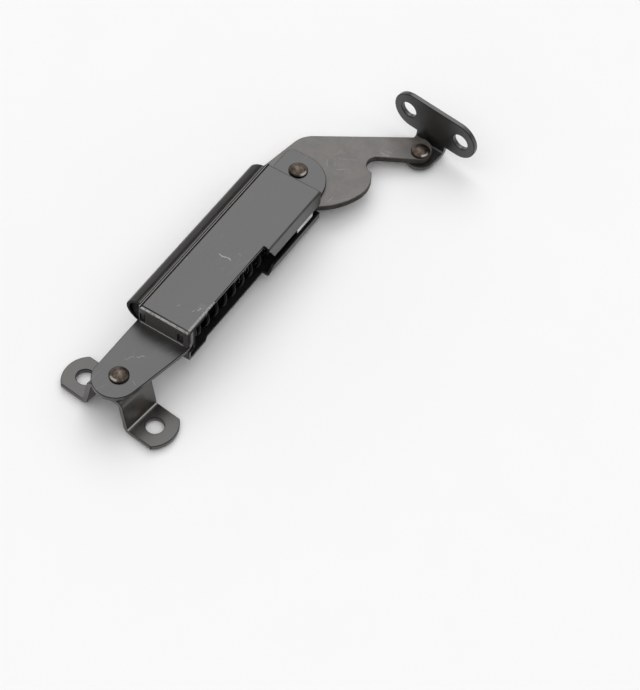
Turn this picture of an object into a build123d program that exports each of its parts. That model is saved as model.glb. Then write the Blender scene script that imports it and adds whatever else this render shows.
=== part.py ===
"""Spring lid support, left hand: wall bracket, spring case, cam lever and lid bracket.

The wall bracket is screwed to a cabinet side and the lid bracket to its lid. A folded sheet case
turns on the wall bracket and holds two compression springs side by side. They push a follower
against the eccentric head of a lever, which turns between two ears at the case's upper end, so
folding the arm down squeezes the springs and they help to lift the lid again.

Frame, millimetres: origin on the wall bracket's mounting face, on the axis of its rivet. +Y runs
along the case to the lever's pivot, +Z out of the mounting face, and +X to the case's open side.
"""

from build123d import *
import math
import os

os.makedirs("parts", exist_ok=True)

# Sheet and bar thicknesses
bracket_gauge = 1.5
tongue_gauge = 1.5
lever_gauge = 2.0
case_gauge = 0.9
follower_gauge = 1.9
plate_gauge = 1.2

# Gaps between pieces
rub_gap = 0.08
pin_gap = 0.05
slide_gap = 0.15

# Rivets: domed head, shank with a tubular end, rolled-over foot
shank_d = 4.5
head_d = 5.7
head_height = 1.7
head_rim = 0.3
rivet_bore_d = 3.4
rivet_bore_depth = 3.0
rolled_d = 5.8
rolled_height = 0.9

# Wall bracket: a hat-shaped strap
screw_hole_d = 5.25
wall_hole_pitch = 25.4
strap_width = 12.2
bracket_rise = 12.0
bridge_width = 12.4
foot_fold_width = 16.2
foot_overhang = 6.4
foot_end_radius = 8.2
bend_inside = 0.8
wall_bracket_turn = -5.2

# Tongue, the flat plate between the case and the wall bracket
tongue_end_radius = 6.8
tongue_left = -7.1
tongue_end_drop = 1.1
tongue_shoulder = 10.2
tongue_bend = 0.5
heel_inset = 0.4

# Spring case: one sheet, folded round on the left
case_start = 18.0
case_length = 63.5
case_depth = 12.3
back_depth = 3.7
case_left = -11.9
end_flange_left = -6.4
case_flange_x = 12.1
free_edge_x = 10.0
corner_x = 10.6
corner_length = 8.0
corner_slope = 1.6
slot_length = 26.3
slot_height = 3.8
flange_lead = 2.6
fold_short = 1.5
fold_cut_front = 0.9
fold_cut_back = 2.9
sheet_bend = 0.7
end_flange_corner = 2.0
groove_radius = 0.25

# Square holes in the lower end flange, for the tongue's lugs
lug_x = (-5.2, 7.5)
lug_hole_width = 1.6
lug_hole_height = 2.8
lug_rise = 1.4
lug_fit = 0.15
lug_length = 0.6

# Ears and lever pivot, which stands beyond the case's upper end
pivot_rise = 6.7
ear_left = -7.0
ear_right = 10.4
ear_tip = 6.4
ear_small_corner = 2.7
ear_large_corner = 10.6

# Lever, in its own frame: the arm's axis runs from the pivot to the lid rivet
arm_length = 37.2
arm_angle = 48.3
cam_centre = (6.5, 6.6)
cam_radius = 20.6
cam_first = -64
cam_join = -103.3
cam_last = -148
contact_radius = 11.2
lever_shoulder = (4.9, 13.7)
shoulder_radius = 8.0
back_low = (-9.6, 4.6)
lobe_tip = (18.9, -9.2)
notch_under = (20.9, -4.4)
notch_middle = (20.4, -1.2)
notch_top = (24.4, 0.75)

# Arm's end, measured from the lid rivet
arm_end_top = (0.5, 5.65)
arm_end_tip = (3.9, 1.1)
arm_end_under = (-1.9, -2.75)

# Lid bracket: a small angle
lid_hole_pitch = 19.05
lid_flange_length = 29.4
lid_flange_height = 12.4
lid_flange_reach = 7.3
lid_flange_rise = 8.5
lid_flange_turn = -6.5
lid_neck_left = -5.9
lid_neck_right = 4.3
lid_leg_radius = 4.3

# Springs
spring_d = 9.6
wire_d = 1.3
coil_turns = 10
end_pitch = 1.85
end_turns = 1
ground = 0.15

# Follower
follower_length = 8.0
prong_width = 4.2
prong_length = 27.0
prong_corner = 1.45
slot_side_gap = 0.5


# Levels above the mounting face
plate_floor = bracket_rise + rub_gap
tongue_top = plate_floor + tongue_gauge
lever_top = plate_floor + lever_gauge
bridge_under = bracket_rise - bracket_gauge
back_ear_top = plate_floor - rub_gap
front_ear_under = lever_top + rub_gap
front_ear_top = front_ear_under + case_gauge
case_back = plate_floor - back_depth
case_front = case_back + case_depth
case_middle = (case_back + case_front) / 2
inside_back = case_back + case_gauge
inside_front = case_front - case_gauge

# Places along and across the case
case_end = case_start + case_length
pivot_reach = case_end + pivot_rise
fold_radius = case_depth / 2
crease_x = case_left + fold_radius
slot_start = case_end - slot_length
inside_start = case_start + case_gauge
shank_r = shank_d / 2
pin_hole_r = shank_r + pin_gap


def across(y):
    """A plane square to the case's length at y, with its local axes along X and Z."""
    return Plane(origin=(0, y, 0), x_dir=(1, 0, 0), z_dir=(0, -1, 0))


def case_section(right, inset):
    """The case's cross-section: round on the left, square on the right, moved inwards by inset."""
    height = case_depth - 2 * inset
    with Locations((crease_x, case_middle)):
        Circle(height / 2)
        Rectangle(right - crease_x, height, align=(Align.MIN, Align.CENTER))


def tubular_rivet(x, y, under_head, foot):
    """A rivet on the axis x, y: its head stands on under_head and its rolled foot hangs from foot."""
    foot_end = foot - rolled_height
    bore_top = foot_end + rivet_bore_depth
    bore_mouth = (rivet_bore_d / 2, foot_end + rolled_height / 2)
    rolled_crest = ((rivet_bore_d + rolled_d) / 4, foot_end)
    rolled_edge = (rolled_d / 2, foot - rolled_height / 3)
    crown = (0, under_head + head_height)
    head_edge = (head_d / 2, under_head + head_rim)
    with BuildPart() as rivet:
        with BuildSketch(Plane(origin=(x, y, 0), x_dir=(1, 0, 0), z_dir=(0, -1, 0))):
            with BuildLine():
                Polyline(crown, (0, bore_top), (rivet_bore_d / 2, bore_top), bore_mouth)
                ThreePointArc(bore_mouth, rolled_crest, rolled_edge)
                Polyline(
                    rolled_edge,
                    (rolled_d / 2, foot),
                    (shank_r, foot),
                    (shank_r, under_head),
                    (head_d / 2, under_head),
                    head_edge,
                )
                TangentArc(crown, head_edge, tangent=(1, 0))
            make_face()
        revolve(axis=Axis((x, y, 0), (0, 0, 1)))
    return rivet.part


# Wall bracket

turned = Plane.XY.rotated((0, 0, wall_bracket_turn))
bracket_side = Plane(origin=(0, 0, 0), x_dir=turned.x_dir, z_dir=-turned.y_dir)
foot_reach = wall_hole_pitch / 2 + foot_overhang
bend_outside = bend_inside + bracket_gauge

with BuildPart() as wall_bracket:
    with BuildSketch(bracket_side):
        with BuildLine():
            FilletPolyline(
                (-foot_reach, bracket_gauge),
                (-foot_fold_width / 2, bracket_gauge),
                (-bridge_width / 2, bracket_rise),
                (bridge_width / 2, bracket_rise),
                (foot_fold_width / 2, bracket_gauge),
                (foot_reach, bracket_gauge),
                radius=[bend_inside, bend_outside, bend_outside, bend_inside],
            )
            offset(amount=bracket_gauge, side=Side.RIGHT)
        make_face()
    extrude(amount=strap_width / 2, both=True)
    with BuildSketch(turned):
        with Locations((foot_reach - foot_end_radius, 0), (foot_end_radius - foot_reach, 0)):
            Circle(foot_end_radius)
        Rectangle(2 * (foot_reach - foot_end_radius), 2 * foot_end_radius)
    extrude(amount=bracket_rise, mode=Mode.INTERSECT)
    with BuildSketch(turned):
        with GridLocations(wall_hole_pitch, 0, 2, 1):
            Circle(screw_hole_d / 2)
        Circle(pin_hole_r)
    extrude(amount=bracket_rise, mode=Mode.SUBTRACT)

wall_rivet = tubular_rivet(0, 0, tongue_top + rub_gap, bridge_under)


# Tongue, with its inner end folded up behind the case's end flange

heel_start = inside_start + tongue_bend
tongue_inner_end = heel_start + tongue_gauge
heel_left = end_flange_left + slide_gap + heel_inset
heel_right = corner_x - slide_gap - heel_inset
lug_middle = tongue_top + lug_rise + lug_hole_height / 2

tongue_reach = tongue_end_radius + tongue_end_drop
tongue_width = tongue_shoulder - tongue_left

with BuildPart() as tongue:
    with BuildSketch(Plane.YZ):
        with BuildLine():
            FilletPolyline(
                (-tongue_reach, plate_floor),
                (tongue_inner_end, plate_floor),
                (tongue_inner_end, inside_front - slide_gap),
                radius=tongue_bend + tongue_gauge,
            )
            offset(amount=tongue_gauge, side=Side.LEFT)
        make_face()
    extrude(amount=tongue_width, both=True)
    with BuildSketch(Plane.XY.offset(plate_floor)):
        with Locations((tongue_left + tongue_end_radius, -tongue_end_drop)):
            Circle(tongue_end_radius)
        with Locations((tongue_left, inside_start)):
            Rectangle(tongue_width, tongue_gauge, align=(Align.MIN, Align.MAX))
        make_hull()
        with Locations((heel_left, tongue_inner_end)):
            Rectangle(heel_right - heel_left, tongue_gauge + tongue_bend, align=(Align.MIN, Align.MAX))
        Circle(pin_hole_r, mode=Mode.SUBTRACT)
    extrude(amount=case_depth, mode=Mode.INTERSECT)
    with BuildSketch(across(heel_start)):
        with Locations([(x, lug_middle) for x in lug_x]):
            Rectangle(lug_hole_width - 2 * lug_fit, lug_hole_height - 2 * lug_fit)
    extrude(amount=tongue_bend + lug_length, dir=(0, -1, 0))


# Spring case

slot_bottom = back_ear_top - case_gauge
slot_top = slot_bottom + slot_height
relief_start = case_start + corner_length


def ear(bottom):
    """One ear's outline, lifted to bottom, with the pivot hole left for later."""
    with BuildSketch(Plane.XY.offset(bottom)) as outline:
        with Locations((ear_left, case_end - case_gauge)):
            Rectangle(ear_right - ear_left, pivot_reach + ear_tip - case_end + case_gauge, align=Align.MIN)
        tip_corners = outline.vertices().group_by(Axis.Y)[-1].sort_by(Axis.X)
        fillet(tip_corners[0], ear_small_corner)
        tip_corners = outline.vertices().group_by(Axis.Y)[-1].sort_by(Axis.X)
        fillet(tip_corners[-1], ear_large_corner)
    return outline.sketch


with BuildPart() as spring_case:
    # Outer form: a box with bent edges, and the half-round fold beside it
    with BuildSketch(across(case_start)):
        with Locations((end_flange_left, case_middle)):
            Rectangle(case_flange_x - end_flange_left, case_depth, align=(Align.MIN, Align.CENTER))
    extrude(amount=case_length, dir=(0, 1, 0))
    long_edges = spring_case.edges().filter_by(Axis.X).filter_by(lambda edge: edge.length > case_depth)
    flange_bends = spring_case.edges().filter_by(Axis.Y).group_by(Axis.X)[-1]
    fillet(long_edges + flange_bends, sheet_bend)
    with BuildSketch(across(case_start)):
        with Locations((crease_x, case_middle)):
            Circle(fold_radius)
            Rectangle(case_depth, case_depth, align=(Align.MIN, Align.CENTER), mode=Mode.SUBTRACT)
    extrude(amount=case_length, dir=(0, 1, 0))
    # Hollow: between the end flanges and right through the round fold
    with BuildSketch(across(inside_start)):
        case_section(case_flange_x - case_gauge, case_gauge)
    extrude(amount=case_length - 2 * case_gauge, dir=(0, 1, 0), mode=Mode.SUBTRACT)
    with BuildSketch(across(case_start)):
        with Locations((crease_x, case_middle)):
            Circle(fold_radius - case_gauge)
        with Locations((end_flange_left, case_middle)):
            Rectangle(case_depth, case_depth, align=(Align.MIN, Align.CENTER), mode=Mode.SUBTRACT)
    extrude(amount=case_length, dir=(0, 1, 0), mode=Mode.SUBTRACT)
    # A shallow groove along the front crease
    with BuildSketch(across(case_start)):
        with Locations((crease_x, case_front)):
            Circle(groove_radius)
    extrude(amount=case_length, dir=(0, 1, 0), mode=Mode.SUBTRACT)
    # Gaps between the front and back end flanges, for the tongue and for the lever
    with BuildSketch(across(case_start)):
        with Locations((end_flange_left, plate_floor)):
            Rectangle(case_depth * 2, tongue_gauge, align=Align.MIN)
    extrude(amount=case_gauge, dir=(0, 1, 0), mode=Mode.SUBTRACT)
    with BuildSketch(across(case_end)):
        with Locations((end_flange_left, back_ear_top)):
            Rectangle(case_depth * 2, front_ear_under - back_ear_top, align=Align.MIN)
    extrude(amount=case_gauge, dir=(0, -1, 0), mode=Mode.SUBTRACT)
    # Slot between the side flanges, with slanted lead-in corners
    with BuildSketch(Plane(origin=(crease_x, 0, 0), x_dir=(0, 1, 0), z_dir=(1, 0, 0))):
        with BuildLine():
            Polyline(
                (slot_start, inside_back),
                (slot_start + flange_lead, slot_bottom),
                (case_end, slot_bottom),
                (case_end, slot_top),
                (slot_start + flange_lead, slot_top),
                (slot_start, inside_front),
                close=True,
            )
        make_face()
    extrude(amount=case_depth * 2, mode=Mode.SUBTRACT)
    # Free edges of the open side, set back above the lower corners
    with BuildSketch(Plane.XY.offset(case_back)):
        with BuildLine():
            Polyline(
                (corner_x, case_start),
                (corner_x, relief_start),
                (free_edge_x, relief_start + corner_slope),
                (free_edge_x, slot_start),
                (case_flange_x, slot_start),
                (case_flange_x, case_start),
                close=True,
            )
        make_face()
    extrude(amount=case_depth, mode=Mode.SUBTRACT)
    # The round fold stops short of the upper end flanges
    with BuildSketch(across(case_end)):
        with Locations((end_flange_left, case_middle)):
            Rectangle(case_depth, case_depth, align=(Align.MAX, Align.CENTER))
    extrude(amount=fold_short, dir=(0, -1, 0), mode=Mode.SUBTRACT)
    # At the lower end the fold is cut back on a slant
    with BuildSketch(Plane.YZ.offset(case_left)):
        with BuildLine():
            Polyline(
                (case_start, case_front),
                (case_start + fold_cut_front, case_front),
                (case_start + fold_cut_back, case_back),
                (case_start, case_back),
                close=True,
            )
        make_face()
    extrude(amount=end_flange_left - case_left, mode=Mode.SUBTRACT)
    # Square holes for the tongue's lugs
    with BuildSketch(across(case_start)):
        with Locations([(x, lug_middle) for x in lug_x]):
            Rectangle(lug_hole_width, lug_hole_height)
    extrude(amount=case_gauge, dir=(0, 1, 0), mode=Mode.SUBTRACT)
    # Rounded corner of the lower end flange, beside the tongue
    flange_corner = (corner_x, case_start + case_gauge / 2, tongue_top)
    fillet(spring_case.edges().filter_by(Axis.Y).sort_by_distance(flange_corner)[0], end_flange_corner)
    # Ears, with the pivot's hole
    extrude(ear(front_ear_under), amount=case_gauge)
    extrude(ear(back_ear_top - case_gauge), amount=case_gauge)
    with BuildSketch(Plane.XY.offset(case_back)):
        with Locations((0, pivot_reach)):
            Circle(pin_hole_r)
    extrude(amount=case_depth, mode=Mode.SUBTRACT)

pivot_rivet = tubular_rivet(0, pivot_reach, front_ear_top, back_ear_top - case_gauge)


# Cam lever

arm_plane = Plane.XY.offset(plate_floor).move(Location((0, pivot_reach, 0), (0, 0, arm_angle)))


def round_point(centre, radius, angle):
    """A point at an angle in degrees on a circle."""
    turn = math.radians(angle)
    return (centre[0] + radius * math.cos(turn), centre[1] + radius * math.sin(turn))


# The cam's edge: a large arc, and a smaller one tangent to it that rests on the follower
cam_start, cam_middle, cam_end = [
    round_point(cam_centre, cam_radius, angle)
    for angle in (cam_first, (cam_first + cam_join) / 2, cam_join)
]
contact_centre = round_point(cam_centre, cam_radius - contact_radius, cam_join)
contact_middle, contact_end = [
    round_point(contact_centre, contact_radius, angle) for angle in ((cam_join + cam_last) / 2, cam_last)
]
heel_way = round_point((0, 0), 1, cam_last - 90)
arm_end = [(arm_length + x, y) for x, y in (arm_end_top, arm_end_tip, arm_end_under)]

with BuildPart() as cam_lever:
    with BuildSketch(arm_plane) as lever_outline:
        with BuildLine():
            Polyline(back_low, lever_shoulder, arm_end[0])
            ThreePointArc(*arm_end)
            Line(arm_end[-1], notch_top)
            ThreePointArc(notch_top, notch_middle, notch_under)
            ThreePointArc(notch_under, lobe_tip, cam_start)
            ThreePointArc(cam_start, cam_middle, cam_end)
            ThreePointArc(cam_end, contact_middle, contact_end)
            TangentArc(contact_end, back_low, tangent=heel_way)
        make_face()
        shoulder_place = arm_plane.from_local_coords(lever_shoulder)
        fillet(lever_outline.vertices().sort_by_distance(shoulder_place)[0], shoulder_radius)
        Circle(pin_hole_r, mode=Mode.SUBTRACT)
        with Locations((arm_length, 0)):
            Circle(pin_hole_r, mode=Mode.SUBTRACT)
    extrude(amount=lever_gauge)

lid_turn = math.radians(arm_angle)
lid_x = arm_length * math.cos(lid_turn)
lid_y = pivot_reach + arm_length * math.sin(lid_turn)
leg_top = plate_floor - rub_gap
leg_under = leg_top - bracket_gauge
lid_rivet = tubular_rivet(lid_x, lid_y, lever_top, leg_under - rub_gap)


# Lid bracket

bracket_place = Plane.XY.move(Location((lid_x, lid_y, 0), (0, 0, lid_flange_turn)))
lid_side = Plane(origin=bracket_place.origin, x_dir=bracket_place.y_dir, z_dir=bracket_place.x_dir)
lid_face = Plane(origin=bracket_place.origin, x_dir=bracket_place.x_dir, z_dir=-bracket_place.y_dir)
flange_inner = lid_flange_reach - bracket_gauge
flange_middle = leg_top + lid_flange_rise
flange_top = flange_middle + lid_flange_height / 2
neck_width = lid_neck_right - lid_neck_left

with BuildPart() as lid_bracket:
    with BuildSketch(lid_side):
        with BuildLine():
            FilletPolyline(
                (-lid_leg_radius, leg_top),
                (flange_inner, leg_top),
                (flange_inner, flange_top),
                radius=bend_inside,
            )
            offset(amount=bracket_gauge, side=Side.RIGHT)
        make_face()
    extrude(amount=lid_flange_length / 2, both=True)
    with BuildSketch(lid_face):
        with Locations((0, flange_middle)):
            SlotOverall(lid_flange_length, lid_flange_height)
        with Locations((lid_neck_left, leg_under)):
            Rectangle(neck_width, flange_middle - leg_under, align=Align.MIN)
        with Locations((-lid_hole_pitch / 2, flange_middle), (lid_hole_pitch / 2, flange_middle)):
            Circle(screw_hole_d / 2, mode=Mode.SUBTRACT)
    extrude(amount=lid_flange_length, both=True, mode=Mode.INTERSECT)
    with BuildSketch(bracket_place):
        with Locations((lid_neck_left, flange_inner)):
            Rectangle(neck_width, bracket_gauge, align=(Align.MIN, Align.MAX))
        Circle(lid_leg_radius)
        make_hull()
        with Locations((0, lid_flange_reach)):
            Rectangle(lid_flange_length, bracket_gauge + bend_inside, align=(Align.CENTER, Align.MAX))
        Circle(pin_hole_r, mode=Mode.SUBTRACT)
    extrude(amount=flange_top, mode=Mode.INTERSECT)


# Follower, a flat plate in the lever's plane with a prong inside each spring

rest_lift = contact_centre[0] * math.sin(lid_turn) + contact_centre[1] * math.cos(lid_turn)
rest_reach = contact_radius - rest_lift
follower_top = pivot_reach - rest_reach - rub_gap
follower_low = follower_top - follower_length
follower_floor = plate_floor + (lever_gauge - follower_gauge) / 2
fold_inner = fold_radius - case_gauge
follower_drop = case_middle - follower_floor
follower_left = crease_x - math.sqrt(fold_inner**2 - follower_drop**2) + slide_gap
follower_right = case_flange_x - slot_side_gap
spring_right_x = free_edge_x - slide_gap - spring_d / 2
spring_x = (crease_x, spring_right_x)

with BuildPart() as follower:
    with BuildSketch(Plane.XY.offset(follower_floor)):
        with Locations((follower_left, follower_low)):
            Rectangle(follower_right - follower_left, follower_length, align=Align.MIN)
        with Locations([(x, follower_low) for x in spring_x]):
            Rectangle(prong_width, prong_length, align=(Align.CENTER, Align.MAX))
    extrude(amount=follower_gauge)
    prong_ends = follower.edges().filter_by(Axis.Z).group_by(Axis.Y)[0]
    fillet(prong_ends, prong_corner)

with BuildPart() as spring_cap:
    with BuildSketch(across(follower_low)):
        case_section(free_edge_x - slide_gap, case_gauge + slide_gap)
        with Locations([(x, follower_floor + follower_gauge / 2) for x in spring_x]):
            Rectangle(prong_width + slide_gap, follower_gauge + slide_gap, mode=Mode.SUBTRACT)
    extrude(amount=plate_gauge, dir=(0, -1, 0))


# Spring seat, on the tongue's folded end and on the back end flange

seat_top = tongue_inner_end + plate_gauge

with BuildPart() as spring_seat:
    with BuildSketch(across(tongue_inner_end)):
        case_section(free_edge_x - slide_gap, case_gauge + slide_gap)
    extrude(amount=plate_gauge, dir=(0, 1, 0))
    with BuildSketch(across(inside_start)):
        with Locations((heel_left, inside_back + slide_gap)):
            Rectangle(heel_right - heel_left, plate_gauge, align=Align.MIN)
    extrude(amount=tongue_inner_end - inside_start, dir=(0, 1, 0))


# Springs

wire_r = wire_d / 2
coil_r = (spring_d - wire_d) / 2
spring_foot = seat_top
spring_head = follower_low - plate_gauge
wire_start = spring_foot + wire_r - ground
wire_rise = spring_head - spring_foot - wire_d + 2 * ground
coil_pitch = (wire_rise - 2 * end_turns * end_pitch) / coil_turns


def wire_height(turn):
    """How far the wire has climbed after a number of turns: slow end turns, even turns between."""
    if turn < end_turns:
        return turn * end_pitch
    if turn > end_turns + coil_turns:
        return wire_rise - (2 * end_turns + coil_turns - turn) * end_pitch
    return end_turns * end_pitch + (turn - end_turns) * coil_pitch


def coil(x):
    """A compression spring on the axis x: one wire swept on arcs, two to each half turn."""
    steps = 2 * (coil_turns + 2 * end_turns)
    points = []
    slopes = []
    for step in range(steps + 1):
        turn = step / 2
        points.append((x + coil_r * math.cos(math.pi * step), wire_start + wire_height(turn), case_middle))
        before = wire_height(max(turn - 0.5, 0))
        after = wire_height(min(turn + 0.5, steps / 2))
        slopes.append((after - before) / (min(turn + 0.5, steps / 2) - max(turn - 0.5, 0)) / (2 * math.pi))
    with BuildPart() as spring:
        with BuildLine() as wire:
            for step in range(steps):
                side = -1 if step % 2 else 1
                start = Vector(*points[step])
                end = Vector(*points[step + 1])
                start_way = Vector(0, slopes[step], coil_r * side).normalized()
                end_way = Vector(0, slopes[step + 1], -coil_r * side).normalized()
                chord = end - start
                ways = start_way + end_way
                spread = 2 * (1 - start_way.dot(end_way))
                pull = chord.dot(ways)
                reach = (math.sqrt(pull**2 + spread * chord.dot(chord)) - pull) / spread
                middle = (start + end + (start_way - end_way) * reach) * 0.5
                middle_way = (end - end_way * reach - start - start_way * reach).normalized()
                TangentArc(start, middle, tangent=start_way)
                TangentArc(middle, end, tangent=middle_way)
        path = wire.wires()[0]
        with BuildSketch(Plane(origin=path @ 0, z_dir=path % 0)):
            Circle(wire_r)
        sweep(path=path)
        with BuildSketch(across(spring_foot)):
            with Locations((x, case_middle)):
                Circle(spring_d)
        extrude(amount=spring_head - spring_foot, dir=(0, 1, 0), mode=Mode.INTERSECT)
    return spring.part, path


def least_gap(path):
    """The smallest clear distance between one turn of the wire and the next, measured on points."""
    turns = coil_turns + 2 * end_turns
    per_turn = 72
    places = [path @ (i / (turns * per_turn)) for i in range(turns * per_turn + 1)]
    best = spring_d
    for i in range(0, len(places) - per_turn // 2):
        for j in range(i + per_turn // 2, min(i + 2 * per_turn, len(places))):
            best = min(best, (places[i] - places[j]).length - wire_d)
    return best


spring_left, left_path = coil(spring_x[0])
spring_right, right_path = coil(spring_x[1])
print("least gap between turns, mm:", round(least_gap(left_path), 3))


# Names and files

pieces = {
    "wall_bracket": wall_bracket.part,
    "wall_rivet": wall_rivet,
    "tongue": tongue.part,
    "spring_case": spring_case.part,
    "pivot_rivet": pivot_rivet,
    "cam_lever": cam_lever.part,
    "lid_rivet": lid_rivet,
    "lid_bracket": lid_bracket.part,
    "follower": follower.part,
    "spring_cap": spring_cap.part,
    "spring_seat": spring_seat.part,
    "spring_left": spring_left,
    "spring_right": spring_right,
}
for name, piece in pieces.items():
    piece.label = name
    export_step(piece, f"parts/{name}.step")
    print(name, len(piece.solids()), round(piece.volume, 1))
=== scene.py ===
"""Finish and studio for the left-hand spring lid support.

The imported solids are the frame. Sheet pieces are welded copies of them with rounded edges, the
rivets are turned again with fuller heads, and the two compression springs are wound as round wire.
Every length is in metres, in the frame of the solids.
"""

import math

import bmesh
import bpy
import numpy as np
from bpy.props import FloatProperty, FloatVectorProperty, IntProperty, PointerProperty
from mathutils import Euler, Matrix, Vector


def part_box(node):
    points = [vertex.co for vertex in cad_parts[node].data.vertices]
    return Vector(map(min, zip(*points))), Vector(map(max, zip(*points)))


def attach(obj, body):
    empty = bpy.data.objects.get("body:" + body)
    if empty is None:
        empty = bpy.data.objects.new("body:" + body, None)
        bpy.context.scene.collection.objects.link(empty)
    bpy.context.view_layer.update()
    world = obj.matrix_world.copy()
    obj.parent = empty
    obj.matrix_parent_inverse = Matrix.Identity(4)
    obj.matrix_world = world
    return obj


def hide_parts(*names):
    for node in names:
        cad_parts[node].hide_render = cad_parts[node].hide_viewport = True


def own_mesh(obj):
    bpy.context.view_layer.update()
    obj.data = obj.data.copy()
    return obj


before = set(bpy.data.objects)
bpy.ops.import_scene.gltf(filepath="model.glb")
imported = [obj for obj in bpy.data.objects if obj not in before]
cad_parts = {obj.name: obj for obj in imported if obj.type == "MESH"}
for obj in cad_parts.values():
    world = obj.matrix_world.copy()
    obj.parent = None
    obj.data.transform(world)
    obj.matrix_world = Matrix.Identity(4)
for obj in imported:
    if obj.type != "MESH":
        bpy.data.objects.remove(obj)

bl_info = {
    "name": "Spring lid support",
    "version": (1, 0, 0),
    "blender": (4, 5, 0),
    "location": "View3D > Sidebar > Lid support",
    "description": "Dresses the packed lid support and sets up its studio",
    "category": "Object",
}

WALL, CASE, LEVER, LID, PUSHER = "wall", "case", "lever", "lid", "pusher"


# Places on the solids

# The case's fold turns about an axis along y, given as (x, z). Faces nearer to it than the first
# radius are inside the case, and faces beyond the second are outside. The fold starts a little to
# the left of its axis.
FOLD_AXIS = (-0.00575, 0.01453)
FOLD_INNER, FOLD_OUTER = 0.0055, 0.0059
FOLD_START = 0.0001

# The groove beside the fold: half its width and its foot's height, for edges and for faces
GROOVE_EDGES = (0.00035, 0.0202)
GROOVE_FACES = (0.00028, 0.0203)

# The case's front face: its height, and how far below it a point still counts as on it
FACE_TOP, FACE_REACH = 0.02068, 0.00002

# The two creases across the front face, at its lower bend and at the foot of its ear, as y. They
# start a little to the right of the fold's axis.
CREASES, CREASE_REACH, CREASE_START = (0.0187, 0.0815), 0.0001, 0.0003

# Two corners of the space inside the case, whose faces take a painted shade
CASE_INSIDE = ((-0.0111, 0.0188, 0.0092), (0.01125, 0.083, 0.0199))

# The wall bracket: how far it is turned about z, and half the width of its wings
BRACKET_TURN = math.radians(-5.2)
WING_EDGE = 0.0061


def corners(node):
    """Lowest and highest corner of a solid, as two arrays."""
    low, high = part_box(node)
    return np.array(low), np.array(high)


# What a user would change

class FinishSettings(bpy.types.PropertyGroup):
    """Colours and gloss of the finishes, and the edges' rounding"""
    coat_colour: FloatVectorProperty(
        name="Coat colour", description="Black finish of the case, tongue and brackets",
        subtype="COLOR", size=3, min=0, max=1, default=(0.0140, 0.0133, 0.0126))
    lever_colour: FloatVectorProperty(
        name="Lever colour", description="Matt, slightly brown finish of the lever",
        subtype="COLOR", size=3, min=0, max=1, default=(0.078, 0.069, 0.062))
    coat_index: FloatProperty(
        name="Coat index", description="Refractive index of the black finish, which sets its gloss",
        default=1.71, min=1, max=3)
    edge_index: FloatProperty(
        name="Edge index", description="Refractive index of the dull finish on cut edges",
        default=1.18, min=1, max=3)
    rivet_colour: FloatVectorProperty(
        name="Rivet colour", description="Dark bronze of the rivets",
        subtype="COLOR", size=3, min=0, max=1, default=(0.104, 0.083, 0.068))
    steel_colour: FloatVectorProperty(
        name="Bare steel colour", description="Bright steel of the follower",
        subtype="COLOR", size=3, min=0, max=1, default=(0.84, 0.82, 0.80))
    edge_round: FloatProperty(
        name="Edge round", description="Width of the rounding on cut sheet edges",
        subtype="DISTANCE", unit="LENGTH", default=0.00018, min=0.00002, max=0.0004)


class SpringSettings(bpy.types.PropertyGroup):
    """Wire and turns of the two compression springs"""
    wire: FloatProperty(
        name="Wire", description="Diameter of the springs' wire",
        subtype="DISTANCE", unit="LENGTH", default=0.0013, min=0.0005, max=0.003)
    active_turns: IntProperty(
        name="Active turns", description="Evenly spaced turns of each spring",
        default=10, min=2, max=40)
    end_turns: IntProperty(
        name="End turns", description="Slow turns at each end of a spring",
        default=1, min=1, max=3)
    end_pitch: FloatProperty(
        name="End pitch", description="Climb of an end turn",
        subtype="DISTANCE", unit="LENGTH", default=0.00185, min=0.001, max=0.01)
    ground: FloatProperty(
        name="Ground", description="How much of the wire is ground off at each end",
        subtype="DISTANCE", unit="LENGTH", default=0.00015, min=0, max=0.001)


class StudioSettings(bpy.types.PropertyGroup):
    """Table, light and camera"""
    floor_colour: FloatVectorProperty(
        name="Floor colour", description="Pale table under the support",
        subtype="COLOR", size=3, min=0, max=1, default=(0.93, 0.93, 0.93))
    lamp_strength: FloatProperty(
        name="Lamp strength", description="Light of the large soft lamp",
        default=0.60, min=0, max=20)
    lamp_spread: FloatProperty(
        name="Lamp spread", description="Full angle of the soft lamp",
        subtype="ANGLE", unit="ROTATION", default=math.radians(44), min=0.01, max=3)
    ceiling_light: FloatProperty(
        name="Ceiling light", description="Light of the pale ceiling", default=1.12, min=0, max=5)
    wall_light: FloatProperty(
        name="Wall light", description="Light of the dim belt between backdrop and ceiling",
        default=0.20, min=0, max=5)
    backdrop_light: FloatProperty(
        name="Backdrop light", description="Light of the pale backdrop near the horizon",
        default=0.92, min=0, max=5)
    lens: FloatProperty(
        name="Lens", description="Camera focal length on a 36 mm sensor, in millimetres",
        default=121.88, min=10, max=400)


# Mesh tools

WELD_DISTANCE = 2e-6
FLAT_ANGLE = math.radians(0.4)
SHARP_ANGLE = math.radians(32)
ROUNDED_ANGLE = math.radians(38)
SHORTEST_ROUNDED = 0.00025
EDGE_STEPS = 2
RIVET_SIDES = 96
WIRE_SIDES = 18


def mesh_piece(name, vertices, faces, smooth=True):
    """A mesh object at the origin from vertex and face arrays."""
    mesh = bpy.data.meshes.new(name)
    mesh.from_pydata(vertices.tolist(), [], faces)
    mesh.validate()
    mesh.polygons.foreach_set("use_smooth", np.full(len(mesh.polygons), smooth))
    mesh.update()
    piece = bpy.data.objects.new(name, mesh)
    bpy.context.scene.collection.objects.link(piece)
    return piece


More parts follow.
